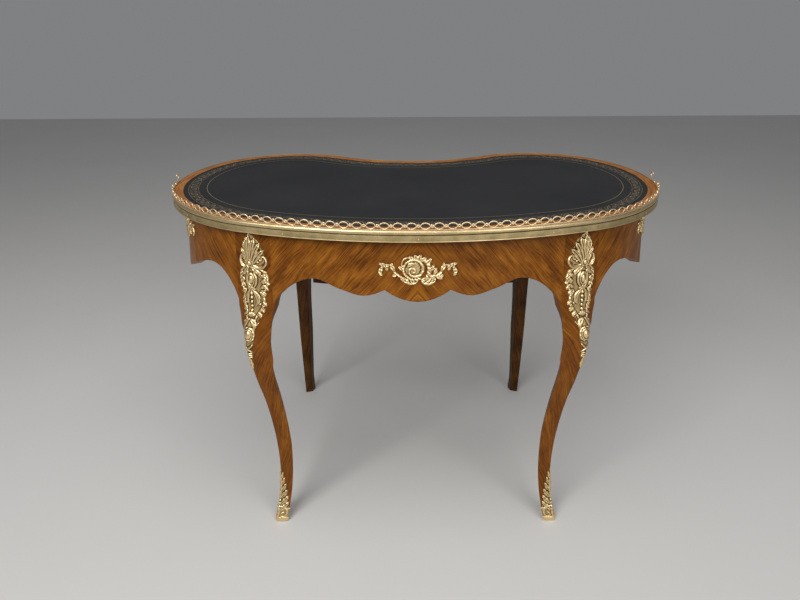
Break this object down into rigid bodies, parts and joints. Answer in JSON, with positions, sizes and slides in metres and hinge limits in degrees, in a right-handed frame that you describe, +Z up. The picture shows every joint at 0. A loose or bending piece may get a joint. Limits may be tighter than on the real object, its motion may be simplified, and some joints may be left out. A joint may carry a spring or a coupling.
{
  "type": "kidney shaped writing table",
  "caption": "Kidney-shaped writing table with leather top, brass gallery, gilt mounts, scroll legs and a drawer in the hollow side.",
  "frame": {"origin": "middle of the footprint, on the floor", "axes": "+Z up, -Y towards the rounded front with the gallery, +Y towards the hollow side with the drawer, +X to the right seen from the rounded front"},
  "size_m": [1.095, 0.6564, 0.7812],
  "materials": {
    "veneer": "polished figured veneer",
    "crossbanding": "polished crossbanded veneer",
    "carcase_wood": "plain oak, waxed",
    "leather": "smooth, gilt tooled border",
    "brass": "lacquered, aged",
    "gilt_metal": "cast, chased and gilt",
    "steel": "dull"
  },
  "bodies": {
    "table": {"apron_back": "veneer", "apron_end_left": "veneer", "apron_end_right": "veneer", "apron_front": "veneer", "border_crossbanding": "crossbanding", "brass_edge": "brass", "drawer_kicker_left": "carcase_wood", "drawer_kicker_right": "carcase_wood", "drawer_runner_left": "carcase_wood", "drawer_runner_right": "carcase_wood", "drawer_stop_left": "carcase_wood", "drawer_stop_right": "carcase_wood", "edge_pins": "brass", "gallery_rail": "gilt_metal", "gallery_rings": "gilt_metal", "gallery_scroll_left": "gilt_metal", "gallery_scroll_right": "gilt_metal", "glue_block_end_left": "carcase_wood", "glue_block_end_right": "carcase_wood", "glue_block_front_left": "carcase_wood", "glue_block_front_right": "carcase_wood", "glue_block_rear_left": "carcase_wood", "glue_block_rear_right": "carcase_wood", "knee_mount_front_left": "gilt_metal", "knee_mount_front_right": "gilt_metal", "knee_mount_rear_left": "gilt_metal", "knee_mount_rear_right": "gilt_metal", "leather_panel": "leather", "leg_front_left": "veneer", "leg_front_right": "veneer", "leg_rear_left": "veneer", "leg_rear_right": "veneer", "mount_end_left": "gilt_metal", "mount_end_right": "gilt_metal", "mount_front": "gilt_metal", "mount_pins": "gilt_metal", "sabot_front_left": "gilt_metal", "sabot_front_right": "gilt_metal", "top_board": "carcase_wood", "top_screws": "steel"},
    "drawer": {"drawer_front": "veneer", "drawer_side_left": "carcase_wood", "drawer_side_right": "carcase_wood", "drawer_back": "carcase_wood", "drawer_bottom": "carcase_wood", "lock_case": "brass", "escutcheon": "gilt_metal"},
    "key": {"key": "steel"},
    "bolt": {"lock_bolt": "brass"}
  },
  "joints": [
    {"name": "drawer_slide", "type": "slide", "parent": "table", "child": "drawer", "axis": [0, 1, 0], "range_m": [0, 0.22]},
    {"name": "key_turn", "type": "hinge", "parent": "drawer", "child": "key", "pos_m": [0, 0.20711, 0.698], "axis": [0, 1, 0], "range_deg": [0, 90]},
    {"name": "bolt_slide", "type": "slide", "parent": "drawer", "child": "bolt", "axis": [0, 0, 1], "range_m": [0, 0.006]}
  ],
  "couplings": [
    {"joint": "key_turn", "follows": "bolt_slide", "rad_per_m": 261.7}
  ]
}
